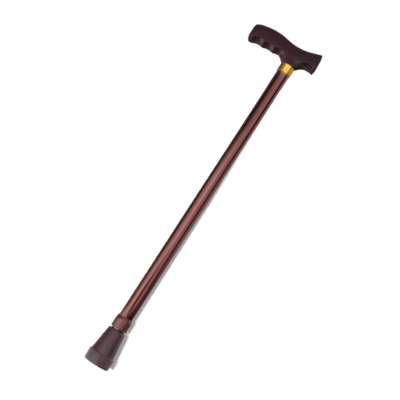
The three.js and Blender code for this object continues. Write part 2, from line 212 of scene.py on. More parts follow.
def hole_tube(name, outer, inner, foot, top, holes):
    """A tube with round holes through one wall each: (azimuth from +X, height, radius).

    Each hole sits in a square patch of the wall, whose rings run from the square to the circle.
    """
    step = 2 * math.pi / TUBE_SIDES
    cells = 8
    patch_share = 1.45
    edge = 0.25 * MM
    patches = []
    for azimuth, height, radius in holes:
        first = round((azimuth - cells / 2 * step) / step)
        half = radius * patch_share
        patches.append((first, height - half, height + half, azimuth, height, radius))
    rows = wall_levels(foot, top, patches, cells)
    last = len(rows) - 1
    vertices, faces, index = [], [], {}

    def on_wall(radius, angle, z):
        vertices.append((radius * math.cos(angle), radius * math.sin(angle), z))
        return len(vertices) - 1

    def grid(side, radius, i, j):
        key = (side, i, j % TUBE_SIDES)
        if key not in index:
            index[key] = on_wall(radius, key[2] * step, rows[i])
        return index[key]

    def in_patch(i, j):
        for first, z0, z1, *_ in patches:
            if z0 - TINY <= rows[i] < z1 - TINY and (j - first) % TUBE_SIDES < cells:
                return True
        return False

    def join(flip, *rings):
        for a, b in zip(rings, rings[1:]):
            for k in range(len(a)):
                m = (k + 1) % len(a)
                quad = [a[k], a[m], b[m], b[k]]
                faces.append(quad[::-1] if flip else quad)

    def hole_rings(side, radius, lip_radius, square, azimuth, height, hole):
        """Rings of a patch on one wall: its square, ever rounder ones, and the lip in the hole."""
        flat = [((j * step - azimuth) * radius, rows[i] - height) for i, j in square]
        angles = [math.atan2(z, x) for x, z in flat]
        rings = [[grid(side, radius, i, j) for i, j in square]]
        for share in (0.5, 0.8, 1.0):
            ring = []
            for (x, z), angle in zip(flat, angles):
                px = x + ((hole + edge) * math.cos(angle) - x) * share
                pz = z + ((hole + edge) * math.sin(angle) - z) * share
                ring.append(on_wall(radius, azimuth + px / radius, height + pz))
            rings.append(ring)
        lip = [(azimuth + hole * math.cos(a) / radius, height + hole * math.sin(a)) for a in angles]
        return [*rings, [on_wall(lip_radius, *at) for at in lip]]

    for side, radius in (("outer", outer), ("inner", inner)):
        for i in range(last):
            for j in range(TUBE_SIDES):
                if in_patch(i, j):
                    continue
                quad = [grid(side, radius, i, j), grid(side, radius, i, j + 1),
                        grid(side, radius, i + 1, j + 1), grid(side, radius, i + 1, j)]
                faces.append(quad if side == "outer" else quad[::-1])
    for first, z0, _, azimuth, height, hole in patches:
        base = int(np.argmin(abs(rows - z0)))
        square = [(base, first + k) for k in range(cells)]
        square += [(base + k, first + cells) for k in range(cells)]
        square += [(base + cells, first + cells - k) for k in range(cells)]
        square += [(base + cells - k, first) for k in range(cells)]
        outside = hole_rings("outer", outer, outer - edge, square, azimuth, height, hole)
        inside = hole_rings("inner", inner, inner + edge, square, azimuth, height, hole)
        join(False, *outside)
        join(True, *inside)
        join(False, outside[-1], inside[-1])
    for i, flip in ((0, True), (last, False)):
        join(flip, [grid("outer", outer, i, j) for j in range(TUBE_SIDES)],
             [grid("inner", inner, i, j) for j in range(TUBE_SIDES)])
    return sharpen(new_object(name, vertices, faces))


def cut_away(obj, cutter):
    """Takes the cutter out of a piece for good, and deletes the cutter."""
    cut = obj.modifiers.new("cut", "BOOLEAN")
    cut.object, cut.operation, cut.solver = cutter, "DIFFERENCE", "EXACT"
    bpy.context.view_layer.update()
    evaluated = obj.evaluated_get(bpy.context.evaluated_depsgraph_get())
    mesh = bpy.data.meshes.new_from_object(evaluated)
    obj.modifiers.clear()
    old = obj.data
    obj.data = mesh
    bpy.data.meshes.remove(old)
    bpy.data.objects.remove(cutter)


def lay(obj, height, quarter, axis):
    """Turns a piece made about Z by a quarter or minus a quarter about the axis, and lifts it."""
    obj.data.transform(Matrix.Translation((0, 0, height)) @ Matrix.Rotation(quarter * math.pi / 2, 4, axis))


# Grip. Its sizes are in millimetres, and its heights are over its seat on the collar.

GRIP_BACK = low("handle_grip").x / MM
GRIP_NOSE = 45.4
GRIP_HALF_WIDTH = high("handle_grip").y / MM
CROWN_SQUARENESS = 3.3
BELLY_SQUARENESS = 3.4
BACK_ROUND = 4
NOSE_ROUND = 1.2
NOSE_LEAN = 0.04
NOSE_LEAN_START = 8
NECK_RADIUS = high("collar_ring").x / MM + 0.8
NECK_HEIGHT = 22
NECK_FLARE = 24
NECK_SIDE_INSET = 1.2
NECK_TOP_BLEND = 6
NECK_BLEND = 3.5
SCOOP_PITCH = 22
SCOOP_COUNT = 3
SCOOP_HALF_LENGTH = 11.2
SCOOP_HEIGHT = 8.2
SCOOP_RIDGE = 2.7
SCOOP_RISE = 8.8
FIRST_SCOOP = -27.5
NOSE_SCOOP = 35
NOSE_SCOOP_HALF_LENGTH = 15
NOSE_SCOOP_HEIGHT = 9.6
NOSE_SCOOP_RISE = 10.4
SCOOP_RIM = 2.6
SEAT_ROUND = 0.4
SPIGOT_NECK = 9.5
SPIGOT_RISE = 23
SCREW_HOLE = 2.8
SCREW_RISE = high("handle_screw").z / MM - GRIP_SEAT / MM
SOCKET_GAP = 0.3

# Outlines as (place, value), with places from -1 at the arm's end to 1 at the nose

CROWN = [
    (-1, 38.6), (-0.89, 42.8), (-0.7, 45.8), (-0.54, 46.2), (-0.38, 44.8),
    (-0.17, 40.6), (-0.03, 39.4), (0.22, 39.8), (0.54, 42.8), (1, 49),
]
BELLY = [(-1, 5.6), (-0.8, 7.8), (-0.55, 8.8), (-0.28, 9.4), (0, 10), (0.4, 9.2), (0.6, 9.6), (1, 9.2)]
WAIST = [(-1, 0.7), (-0.6, 0), (-0.05, 0.5), (1, 1)]

# Scoops as (place, half length, half height, height of the middle)

SCOOPS = [(FIRST_SCOOP - i * SCOOP_PITCH, SCOOP_HALF_LENGTH, SCOOP_HEIGHT, SCOOP_RISE)
          for i in range(SCOOP_COUNT)]
SCOOPS.append((NOSE_SCOOP, NOSE_SCOOP_HALF_LENGTH, NOSE_SCOOP_HEIGHT, NOSE_SCOOP_RISE))

# The grid in which the grip's surface is found, and a value that keeps divisions from nought

GRIP_CELL = 0.8
GRID_BACK = GRIP_BACK - 2
GRID_NOSE = GRIP_NOSE + 4
GRID_SIDE = GRIP_HALF_WIDTH + 1.6
GRID_FOOT = -1.37
GRID_TOP = 52
LEAST = 1e-6


def curve_through(points):
    """A smooth curve through the points of an outline, as a function of x."""
    xs = np.array([-p * GRIP_BACK if p < 0 else p * GRIP_NOSE for p, _ in points])
    ys = np.array([v for _, v in points], float)
    before = np.maximum(np.arange(len(xs)) - 1, 0)
    after = np.minimum(np.arange(len(xs)) + 1, len(xs) - 1)
    slopes = (ys[after] - ys[before]) / (xs[after] - xs[before])

    def value(x):
        x = np.clip(x, xs[0], xs[-1])
        i = np.clip(np.searchsorted(xs, x, side="right") - 1, 0, len(xs) - 2)
        run = xs[i + 1] - xs[i]
        t = (x - xs[i]) / run
        u = 1 - t
        bend = run * t * u * (slopes[i] * u - slopes[i + 1] * t)
        return ys[i] * u * u * (1 + 2 * t) + ys[i + 1] * t * t * (3 - 2 * t) + bend
    return value


crown_line = curve_through(CROWN)
belly_line = curve_through(BELLY)
waist_line = curve_through(WAIST)


def soft_max(a, b, k):
    h = np.clip(0.5 + 0.5 * (a - b) / k, 0, 1)
    return b + (a - b) * h + k * h * (1 - h)


def soft_min(a, b, k):
    return -soft_max(-a, -b, k)


def bar_field(x, y, z):
    top, foot = crown_line(x), belly_line(x)
    half, middle = (top - foot) / 2, (top + foot) / 2
    width = GRIP_HALF_WIDTH - waist_line(x)
    power = np.where(z > middle, CROWN_SQUARENESS, BELLY_SQUARENESS)
    aside = np.maximum(np.abs(y) / width, LEAST)
    above = np.maximum(np.abs(z - middle) / half, LEAST)
    bar = ((aside ** power + above ** power) ** (1 / power) - 1) * np.minimum(width, half)
    lean = NOSE_LEAN * np.clip((x - NOSE_LEAN_START) / (GRIP_NOSE - NOSE_LEAN_START), 0, 1)
    bar = soft_max(bar, GRIP_BACK - x, BACK_ROUND)
    return soft_max(bar, x - GRIP_NOSE - lean * (middle - z), NOSE_ROUND)


def neck_field(x, y, z):
    rise = np.clip(z / NECK_HEIGHT, 0, 1)
    radius_x = NECK_RADIUS + NECK_FLARE * rise
    radius_y = NECK_RADIUS + (GRIP_HALF_WIDTH - NECK_SIDE_INSET - NECK_RADIUS) * rise
    neck = (np.sqrt((x / radius_x) ** 2 + (y / radius_y) ** 2) - 1) * radius_y
    return soft_max(neck, z - NECK_HEIGHT, NECK_TOP_BLEND)


def scoop_field(x, y, z, at, length, height, rise):
    reach = GRIP_HALF_WIDTH - SCOOP_RIDGE
    q = np.stack([(x - at) / length, (np.abs(y) - GRIP_HALF_WIDTH) / reach, (z - rise) / height], -1)
    norm = np.linalg.norm(q, axis=-1)
    slope = np.linalg.norm(q / np.array([length, reach, height]), axis=-1)
    return norm * (norm - 1) / np.maximum(slope, LEAST)


def grip_field(p):
    """Signed distance, about, to the grip's surface: negative inside."""
    x, y, z = p[..., 0], p[..., 1], p[..., 2]
    body = soft_min(bar_field(x, y, z), neck_field(x, y, z), NECK_BLEND)
    for scoop in SCOOPS:
        body = soft_max(body, -scoop_field(x, y, z, *scoop), SCOOP_RIM)
    body = soft_max(body, -z, SEAT_ROUND)
    off_axis = np.hypot(x, y)
    socket = np.maximum(off_axis - SPIGOT_NECK - SOCKET_GAP, z - SPIGOT_RISE - SOCKET_GAP)
    pilot = np.maximum(off_axis - SCREW_HOLE, z - SCREW_RISE - SOCKET_GAP)
    return np.maximum(np.maximum(body, -socket), -pilot)


def layers_before_and_after(array, axis):
    """The array without its last layer along the axis, and without its first."""
    before, after = [slice(None)] * 3, [slice(None)] * 3
    before[axis], after[axis] = slice(0, -1), slice(1, None)
    return array[tuple(before)], array[tuple(after)]


def cell_crossings(grid, values, cell):
    """Sum of the points at which the field is zero on each grid cell's edges, and their number."""
    shape = np.array(values.shape) - 1
    point_sum = np.zeros((*shape, 3))
    crossings = np.zeros(shape)
    for axis in range(3):
        a, b = layers_before_and_after(values, axis)
        cut = (a < 0) != (b < 0)
        t = np.where(cut, a / np.where(a == b, 1, a - b), 0)
        point = layers_before_and_after(grid, axis)[0].copy()
        point[..., axis] += t * cell
        others = [k for k in range(3) if k != axis]
        for da in (0, 1):
            for db in (0, 1):
                take = [slice(None)] * 3
                take[others[0]] = slice(da, values.shape[others[0]] - 1 + da)
                take[others[1]] = slice(db, values.shape[others[1]] - 1 + db)
                point_sum += np.where(cut[tuple(take)][..., None], point[tuple(take)], 0)
                crossings += cut[tuple(take)]
    return point_sum, crossings


def crossing_quads(inside, number):
    """A quad of cells round each grid edge that crosses the surface, facing out."""
    shape = number.shape
    faces = []
    for axis in range(3):
        a, b = layers_before_and_after(inside, axis)
        where = np.argwhere(a != b)
        u, v = (axis + 1) % 3, (axis + 2) % 3
        where = where[(where[:, u] > 0) & (where[:, v] > 0)]
        where = where[(where[:, u] < shape[u]) & (where[:, v] < shape[v])]
        ring = []
        for du, dv in ((-1, -1), (0, -1), (0, 0), (-1, 0)):
            at = where.copy()
            at[:, u] += du
            at[:, v] += dv
            ring.append(number[tuple(at.T)])
        quads = np.stack(ring, 1)
        outward = inside[tuple(where.T)]
        faces.append(np.where(outward[:, None], quads, quads[:, ::-1]))
    return np.concatenate(faces)


def pulled_to(field, vertices, cell):
    """Moves the vertices along the field's slope to where it is zero, in short steps."""
    rounds, probe_share, longest_share, least_slope = 3, 0.05, 0.3, 0.2
    probe = cell * probe_share
    for _ in range(rounds):
        here = field(vertices)
        slope = np.stack([(field(vertices + d) - field(vertices - d)) / (2 * probe)
                          for d in np.eye(3) * probe], -1)
        move = -here[:, None] * slope / np.maximum((slope ** 2).sum(-1, keepdims=True), least_slope)
        length = np.linalg.norm(move, axis=1, keepdims=True)
        vertices = vertices + move * np.minimum(1, longest_share * cell / np.maximum(length, LEAST))
    return vertices


def surface_of(field, lowest, highest, cell):
    """Closed quad mesh of the surface where the field is zero, by surface nets."""
    axes = [np.arange(a, b + cell, cell) for a, b in zip(lowest, highest)]
    grid = np.stack(np.meshgrid(*axes, indexing="ij"), -1)
    values = field(grid)
    point_sum, crossings = cell_crossings(grid, values, cell)
    live = crossings > 0
    number = -np.ones(crossings.shape, int)
    number[live] = np.arange(live.sum())
    vertices = point_sum[live] / crossings[live][:, None]
    return pulled_to(field, vertices, cell), crossing_quads(values < 0, number)


def make_grip():
    lowest, highest = (GRID_BACK, -GRID_SIDE, GRID_FOOT), (GRID_NOSE, GRID_SIDE, GRID_TOP)
    vertices, faces = surface_of(grip_field, lowest, highest, GRIP_CELL)
    vertices = vertices * MM + np.array([0, 0, GRIP_SEAT])
    return sharpen(new_object("grip", vertices, faces), degrees=60)


# The other pieces. An outline's third number is the rounding of that corner.

def make_ferrule():
    _, top, radius = span("ferrule")
    bore = INNER_RADIUS + SEAT_GAP
    floor = low("ferrule_disc").z - SEAT_GAP
    groove_starts = (8 * MM, 14.5 * MM)
    groove_width, groove_depth, groove_slope = 3 * MM, 1.5 * MM, 0.3 * MM
    band_top = 20.2 * MM
    mouth = bore + 4.4 * MM
    profile = [(0, 0)]
    for start in groove_starts:
        end = start + groove_width
        profile += [(start, 0, 0.4 * MM), (start + groove_slope, groove_depth, 0.3 * MM),
                    (end - groove_slope, groove_depth, 0.3 * MM), (end, 0, 0.4 * MM)]
    profile += [
        (radius - 1.1 * MM, 0, 0.9 * MM),
        (radius - 0.25 * MM, 3.2 * MM, 2 * MM),
        (radius, 9 * MM, 4 * MM),
        (radius, band_top, 0.7 * MM),
        (radius - 1.9 * MM, band_top + 0.8 * MM, 0.3 * MM),
        (radius - 2.45 * MM, band_top + 2.4 * MM, 1.0 * MM),
        (mouth + 0.8 * MM, top - 1.4 * MM, 1.2 * MM),
        (mouth, top, 0.5 * MM),
        (bore, top, 0.3 * MM),
        (bore, floor),
        (0, floor),
    ]
    return turned("rubber_ferrule", profile)


def make_ferrule_disc():
    foot, top, _ = span("ferrule_disc")
    return cylinder("ferrule_plate", INNER_RADIUS, foot, top, edge=0.2 * MM, sides=SIDES)


# A ring of the frame, made black to stand for the shade in the gap between nut and ferrule: painted shade.
def make_gap_shade_ring():
    foot, top, radius = span("bumper_ring")
    bore = INNER_RADIUS + SEAT_GAP
    return turned("gap_shade_ring", [
        (bore, foot, 0.2 * MM),
        (radius, foot, 0.5 * MM),
        (radius, top, 0.7 * MM),
        (bore, top, 0.2 * MM),
    ], closed=True)


def make_inner_tube():
    holes = [(math.pi / 2, BUTTON_HEIGHT, HOLE_RADIUS)]
    return hole_tube("lower_tube", INNER_RADIUS, INNER_RADIUS - TUBE_WALL, INNER_FOOT, INNER_TOP, holes)


def make_outer_tube():
    holes = [(math.pi / 2, BUTTON_HEIGHT - i * HOLE_PITCH, HOLE_RADIUS) for i in range(HOLE_COUNT)]
    holes += [(azimuth, PIN_HEIGHT, PIN_RADIUS + SEAT_GAP) for azimuth in (0, math.pi)]
    return hole_tube("upper_tube", TUBE_RADIUS, TUBE_RADIUS - TUBE_WALL, TUBE_FOOT, TUBE_TOP, holes)


def make_glide_bush():
    foot, top, _ = span("glide_bush")
    plug = INNER_RADIUS - TUBE_WALL - SEAT_GAP
    flange = INNER_TOP + SEAT_GAP
    bore = 6.5 * MM
    return turned("guide_plug", [
        (bore, foot, 0.4 * MM),
        (plug, foot, 1 * MM),
        (plug, flange),
        (INNER_RADIUS, flange, 0.2 * MM),
        (INNER_RADIUS, top, 0.6 * MM),
        (bore, top, 0.5 * MM),
    ], closed=True)


def make_snap_button():
    lowest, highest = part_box("snap_button")
    tail = 1.5 * MM
    flange = 1.2 * MM
    dome = 0.9 * MM
    rim = (highest.z - lowest.z) / 2
    radius = rim - flange
    flange_face = math.sqrt((INNER_RADIUS - TUBE_WALL - SLIDE_GAP) ** 2 - rim ** 2)
    flange_back = flange_face - flange
    tip = highest.y
    button = turned("height_button", [
        (0, lowest.y),
        (tail, lowest.y, 0.4 * MM),
        (tail, flange_back),
        (rim, flange_back, 0.25 * MM),
        (rim, flange_face, 0.25 * MM),
        (radius, flange_face),
        (radius, tip - dome, dome),
        (radius * 0.55, tip - 0.1 * MM, 1.2 * MM),
        (0, tip),
    ], sides=SMALL_SIDES)
    lay(button, BUTTON_HEIGHT, -1, "X")
    return button


def leaf_path(lowest, highest, thick):
    """Middle line of the folded leaf as (y, z): down from the button, round the bend and up the back."""
    bend = 3.5 * MM
    flat = 16 * MM
    turn_steps = 20
    front, back = highest.y - thick / 2, lowest.y + thick / 2
    top = highest.z
    knee = Vector((front, top - flat))
    start = Vector((back + 2 * bend, lowest.z + thick / 2 + bend))
    path = [(front, top), (front, top - flat / 2), tuple(knee)]
    path += [tuple(knee.lerp(start, s)) for s in (0.25, 0.5, 0.75)]
    for i in range(turn_steps + 1):
        angle = math.pi * i / turn_steps
        path.append((back + bend + bend * math.cos(angle), start.y - bend * math.sin(angle)))
    return path + [(back, start.y + (top - start.y) * s) for s in (0.25, 0.5, 0.75, 1)]


def make_leaf_spring():
    lowest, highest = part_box("button_spring")
    thick = 0.6 * MM
    path = leaf_path(lowest, highest, thick)
    vertices, faces = [], []
    for i, (y, z) in enumerate(path):
        a, b = path[max(i - 1, 0)], path[min(i + 1, len(path) - 1)]
        run = Vector((b[0] - a[0], b[1] - a[1])).normalized()
        side = Vector((-run.y, run.x)) * thick / 2
        for sx, s in ((-1, -1), (1, -1), (1, 1), (-1, 1)):
            vertices.append((sx * highest.x, y + s * side.x, z + s * side.y))
    for i in range(len(path) - 1):
        for k in range(4):
            m = (k + 1) % 4
            faces.append([4 * i + k, 4 * i + m, 4 * i + 4 + m, 4 * i + 4 + k])
    faces += [[3, 2, 1, 0], [len(vertices) - 4 + k for k in range(4)]]
    spring = new_object("leaf_spring", vertices, faces)
    rivet = cylinder("rivet_hole", radius=1.8 * MM, foot=0, top=10 * MM)
    lay(rivet, BUTTON_HEIGHT, -1, "X")
    cut_away(spring, rivet)
    return sharpen(spring)


def rows_between(radius, a, b):
    """Points of a profile up a thread, ten to a pitch."""
    count = max(2, round(abs(b - a) / (THREAD_PITCH / 10)))
    return [(radius, a + (b - a) * i / count) for i in range(count + 1)]


def make_thread_bush():
    bore = TUBE_RADIUS + SEAT_GAP
    root = bore + BUSH_WALL
    foot, top, _ = span("thread_bush")
    profile = rows_between(root, foot, top) + [(bore, top), (bore, foot)]
    return turned("threaded_sleeve", profile, closed=True, wave=thread_wave(root, root + THREAD_DEPTH))


def make_lock_nut():
    foot, top, radius = span("lock_nut")
    mouth = TUBE_RADIUS + SLIDE_GAP
    floor_bore = INNER_RADIUS + SLIDE_GAP
    room = floor_bore + CLAMP_WALL + SEAT_GAP
    root = TUBE_RADIUS + SEAT_GAP + BUSH_WALL + THREAD_GAP
    chamber = high("thread_bush").z + NUT_TRAVEL + SEAT_GAP
    floor = foot + 2.5 * MM
    edge = 0.8 * MM
    profile = [
        (radius - edge, foot, 0.2 * MM),
        (radius, foot + edge, 0.3 * MM),
        (radius, chamber, 1.6 * MM),
        (mouth + 0.7 * MM, top, 0.3 * MM),
        (mouth, top, 0.2 * MM),
        (mouth, chamber + THREAD_DEPTH),
        (root + THREAD_DEPTH + 0.01 * MM, chamber),
        *rows_between(root, chamber - THREAD_DEPTH / 2, TUBE_FOOT),
        (room, TUBE_FOOT - SEAT_GAP),
        (room, floor),
        (floor_bore, floor),
        (floor_bore, foot, 0.2 * MM),
    ]
    return turned("lock_collar_nut", profile, closed=True, wave=thread_wave(root, root + THREAD_DEPTH))


def make_compression_ring():
    foot, top, _ = span("compression_ring")
    bore = INNER_RADIUS + SLIDE_GAP
    outside = bore + CLAMP_WALL
    middle = bore + CLAMP_WALL / 2
    slot_half = 1 * MM
    steps = 110
    profile = rounded([
        (bore, foot, 0.2 * MM),
        (outside, foot, 0.2 * MM),
        (outside, top - CLAMP_WALL / 2, 0.3 * MM),
        (middle, top, 0.3 * MM),
        (bore, top, 0.2 * MM),
    ], closed=True)
    start = math.pi + slot_half / middle
    end = 3 * math.pi - slot_half / middle
    vertices, faces = [], []
    count = len(profile)
    for i in range(steps + 1):
        angle = start + (end - start) * i / steps
        vertices += [(r * math.cos(angle), r * math.sin(angle), z) for r, z in profile]
    for i in range(steps):
        for k in range(count):
            m = (k + 1) % count
            a, b = i * count, (i + 1) * count
            faces.append([a + k, b + k, b + m, a + m])
    faces.append(list(range(count)))
    faces.append([steps * count + k for k in reversed(range(count))])
    return sharpen(new_object("split_ring", vertices, faces))


def make_collar_ring():
    foot, top, radius = span("collar_ring")
    bore = TUBE_RADIUS + SEAT_GAP
    ring = turned("gold_ring", [
        (bore, foot, 0.1 * MM),
        (radius, foot, 0.35 * MM),
        (radius, top, 0.25 * MM),
        (bore, top, 0.1 * MM),
    ], closed=True)
    ring.visible_glossy = False  # keeps specks of gold out of the finger scoops
    return ring


def make_spigot():
    foot, top, radius = span("handle_spigot")
    bore = 6 * MM
    floor = GRIP_SEAT + 0.5 * MM
    profile = [
        (bore, foot, 0.3 * MM),
        (radius, foot, 0.8 * MM),
        (radius, TUBE_TOP, 0.3 * MM),
        (SPIGOT_NECK * MM, TUBE_TOP),
        (SPIGOT_NECK * MM, top, 0.8 * MM),
        (SCREW_HOLE * MM, top, 0.3 * MM),
        (SCREW_HOLE * MM, floor),
        (bore, floor),
    ]
    spigot = turned("grip_spigot", profile, closed=True, sides=TUBE_SIDES)
    cut_away(spigot, pin_bar("pin_hole", PIN_RADIUS + SEAT_GAP, 2 * radius))
    return sharpen(spigot)


def pin_bar(name, radius, reach):
    """A round bar along X at the height of the cross pin."""
    bar = cylinder(name, radius, -reach, reach, edge=radius / 4)
    lay(bar, PIN_HEIGHT, 1, "Y")
    return bar


def make_washer():
    foot, top, radius = span("screw_washer")
    return turned("grip_washer", [
        (SCREW_HOLE * MM, foot, 0.1 * MM),
        (radius, foot, 0.3 * MM),
        (radius, top, 0.1 * MM),
        (SCREW_HOLE * MM, top, 0.1 * MM),
    ], closed=True, sides=TUBE_SIDES)


def make_screw():
    foot, top, head = span("handle_screw")
    head_top = low("screw_washer").z - SEAT_GAP
    bevel = 1.5 * MM
    core = 2.5 * MM
    point = 4 * MM
    depth = 0.4 * MM
    pitch = 1.8 * MM
    crest_sharpness = 0.6
    recess_width, recess_height = 1.1 * MM, 2.6 * MM
    middle = core - depth / 2
    shank = head_top + 6 * MM
    reach = top - point - shank
    rows = round(reach / (pitch / 10))

    def wave(angle, radius, z):
        if abs(radius - middle) > TINY:
            return radius
        phase = 2 * math.pi * (z - shank) / pitch - angle
        return core - depth * (0.5 + 0.5 * math.cos(phase)) ** crest_sharpness

    screw = turned("grip_screw", [
        (0, foot),
        (head - bevel, foot, 0.4 * MM),
        (head, foot + bevel, 0.9 * MM),
        (head, head_top, 0.2 * MM),
        (core, head_top),
        (core, shank - 0.3 * MM),
        *((middle, shank + reach * i / rows) for i in range(rows + 1)),
        (core * 0.75, top - point * 0.7),
        (0, top),
    ], sides=SMALL_SIDES, wave=wave)
    for turn in (0, math.pi / 2):
        bm = bmesh.new()
        bmesh.ops.create_cube(bm, size=1)
        mesh = bpy.data.meshes.new("recess")
        bm.to_mesh(mesh)
        bm.free()
        recess = bpy.data.objects.new("recess", mesh)
        bpy.context.scene.collection.objects.link(recess)
        scale = Matrix.Diagonal((head * 1.05, recess_width, recess_height, 1))
        mesh.transform(Matrix.Translation((0, 0, foot)) @ Matrix.Rotation(turn, 4, "Z") @ scale)
        cut_away(screw, recess)
    return sharpen(screw)


def make_pin():
    return pin_bar("cross_pin", PIN_RADIUS, high("spigot_pin").x)


# Materials

def material(name):
    made = bpy.data.materials.new(name)
    made.use_nodes = True
    tree = made.node_tree
    shader = next(n for n in tree.nodes if n.type == "BSDF_PRINCIPLED")
    place = tree.nodes.new("ShaderNodeTexCoord").outputs["Object"]
    return made, tree, shader, place


def stretched(tree, place, scale):
    mapping = tree.nodes.new("ShaderNodeMapping")
    mapping.inputs["Scale"].default_value = scale
    tree.links.new(place, mapping.inputs["Vector"])
    return mapping.outputs["Vector"]


def noise(tree, place, scale, detail=3, roughness=0.55):
    node = tree.nodes.new("ShaderNodeTexNoise")
    node.inputs["Scale"].default_value = scale
    node.inputs["Detail"].default_value = detail
    node.inputs["Roughness"].default_value = roughness
    tree.links.new(place, node.inputs["Vector"])
    return node.outputs["Fac"]


def components(tree, vector):
    """Sockets X, Y and Z of a vector."""
    split = tree.nodes.new("ShaderNodeSeparateXYZ")
    tree.links.new(vector, split.inputs[0])
    return split.outputs


def between(tree, factor, low_value, high_value, from_low=0.3, from_high=0.7):
    node = tree.nodes.new("ShaderNodeMapRange")
    node.inputs["From Min"].default_value = from_low
    node.inputs["From Max"].default_value = from_high
    node.inputs["To Min"].default_value = low_value
    node.inputs["To Max"].default_value = high_value
    tree.links.new(factor, node.inputs["Value"])
    return node.outputs["Result"]


def maths(tree, operation, first, second=0):
    """Result of a Math node on two sockets, or on a socket and a number."""
    node = tree.nodes.new("ShaderNodeMath")
    node.operation = operation
    tree.links.new(first, node.inputs[0])
    if isinstance(second, (int, float)):
        node.inputs[1].default_value = second
    else:
        tree.links.new(second, node.inputs[1])
    return node.outputs[0]


def mixed(tree, factor, first, second):
    """Output of a Mix Shader node."""
    node = tree.nodes.new("ShaderNodeMixShader")
    for socket, source in zip(node.inputs, (factor, first, second)):
        tree.links.new(source, socket)
    return node.outputs[0]


def blended(tree, factor, first, second):
    node = tree.nodes.new("ShaderNodeMix")
    node.data_type = "RGBA"
    node.inputs["A"].default_value = (*first, 1)
    node.inputs["B"].default_value = (*second, 1)
    tree.links.new(factor, node.inputs["Factor"])
    return node.outputs["Result"]


def bumped(tree, shader, height, distance, strength, below=None):
    node = tree.nodes.new("ShaderNodeBump")
    node.inputs["Strength"].default_value = strength
    node.inputs["Distance"].default_value = distance
    tree.links.new(height, node.inputs["Height"])
    if below is not None:
        tree.links.new(below, node.inputs["Normal"])
    tree.links.new(node.outputs["Normal"], shader.inputs["Normal"])
    return node.outputs["Normal"]


def grip_plastic():
    made, tree, shader, place = material("grip_plastic")
    cloud = noise(tree, place, scale=60, detail=2)
    grain = noise(tree, place, scale=1600, roughness=0.6)
    colour = blended(tree, between(tree, cloud, 0, 1), (0.034, 0.0045, 0.0105), (0.04, 0.0065, 0.013))
    tree.links.new(colour, shader.inputs["Base Color"])
    tree.links.new(between(tree, cloud, 0.33, 0.4), shader.inputs["Roughness"])
    shader.inputs["Specular IOR Level"].default_value = 0.42
    bumped(tree, shader, grain, distance=0.03 * MM, strength=0.25)
    return made


def metal(name, colour, deep, roughness, lines, bump=0.006 * MM, spread=0.05, metallic=1, coat=0,
          coat_ior=1.5):
    """A metal with fine working marks, which lines stretches along X, Y and Z and spread makes duller."""
    made, tree, shader, place = material(name)
    marks = noise(tree, stretched(tree, place, lines), scale=1, detail=4, roughness=0.7)
    cloud = noise(tree, place, scale=400, detail=2)
    tree.links.new(blended(tree, between(tree, marks, 0, 1), deep, colour), shader.inputs["Base Color"])
    tree.links.new(between(tree, marks, roughness + spread, roughness), shader.inputs["Roughness"])
    shader.inputs["Metallic"].default_value = metallic
    shader.inputs["Coat Weight"].default_value = coat
    shader.inputs["Coat Roughness"].default_value = roughness
    shader.inputs["Coat IOR"].default_value = coat_ior
    fine = bumped(tree, shader, cloud, bump, strength=0.3)
    bumped(tree, shader, marks, bump, strength=0.5, below=fine)
    return made


def bronze_tube():
    return metal("bronze_tube", colour=(0.4, 0.064, 0.04), deep=(0.35, 0.054, 0.033), roughness=0.03,
                 lines=(900, 900, 3), spread=0.02, metallic=0.93, coat=1, coat_ior=2.2)


def bronze_nut():
    return metal("bronze_nut", colour=(0.34, 0.09, 0.07), deep=(0.3, 0.075, 0.06), roughness=0.2,
                 lines=(60, 60, 2500), bump=0.01 * MM, metallic=0.86, coat=1, coat_ior=2)


def bare_tube():
    return metal("bare_tube", colour=(0.92, 0.7, 0.76), deep=(0.82, 0.6, 0.66), roughness=0.06,
                 lines=(900, 900, 4))


def gold_trim():
    return metal("gold_trim", colour=(0.98, 0.58, 0.09), deep=(0.93, 0.53, 0.075), roughness=0.035,
                 lines=(700, 700, 8), spread=0.02, metallic=0.98)


def steel():
    return metal("steel", colour=(0.58, 0.57, 0.55), deep=(0.46, 0.45, 0.44), roughness=0.28,
                 lines=(500, 500, 500))


def ferrule_rubber():
    made, tree, shader, place = material("ferrule_rubber")
    cloud = noise(tree, place, scale=45, detail=4, roughness=0.6)
    grain = noise(tree, place, scale=1400, detail=4, roughness=0.65)
    colour = blended(tree, between(tree, cloud, 0, 1), (0.038, 0.01, 0.015), (0.06, 0.02, 0.026))
    tree.links.new(colour, shader.inputs["Base Color"])
    tree.links.new(between(tree, cloud, 0.19, 0.32), shader.inputs["Roughness"])
    shader.inputs["Specular IOR Level"].default_value = 1
    shader.inputs["IOR"].default_value = 1.56
    shader.inputs["Sheen Weight"].default_value = 0.25
    shader.inputs["Sheen Roughness"].default_value = 0.4
    shader.inputs["Sheen Tint"].default_value = (1, 0.86, 0.9, 1)
    bumped(tree, shader, grain, distance=0.03 * MM, strength=0.5)
    return made


def plain_plastic(name, colour, deep, roughness, specular=0.5):
    made, tree, shader, place = material(name)
    cloud = noise(tree, place, scale=250)
    grain = noise(tree, place, scale=2200)
    tree.links.new(blended(tree, between(tree, cloud, 0, 1), deep, colour), shader.inputs["Base Color"])
    tree.links.new(between(tree, cloud, roughness - 0.05, roughness + 0.05), shader.inputs["Roughness"])
    shader.inputs["Specular IOR Level"].default_value = specular
    bumped(tree, shader, grain, distance=0.02 * MM, strength=0.5)
    return made


def nylon():
    return plain_plastic("nylon", colour=(0.72, 0.68, 0.6), deep=(0.66, 0.62, 0.54), roughness=0.48)


# Near-black and dull. On the ring in the gap under the nut, it also paints the shade there.
def black_plastic():
    return plain_plastic("black_plastic", colour=(0.012, 0.006, 0.008), deep=(0.008, 0.004, 0.005),
                         roughness=0.5, specular=0.15)


# The pieces: object maker, node that it stands for, body, finish

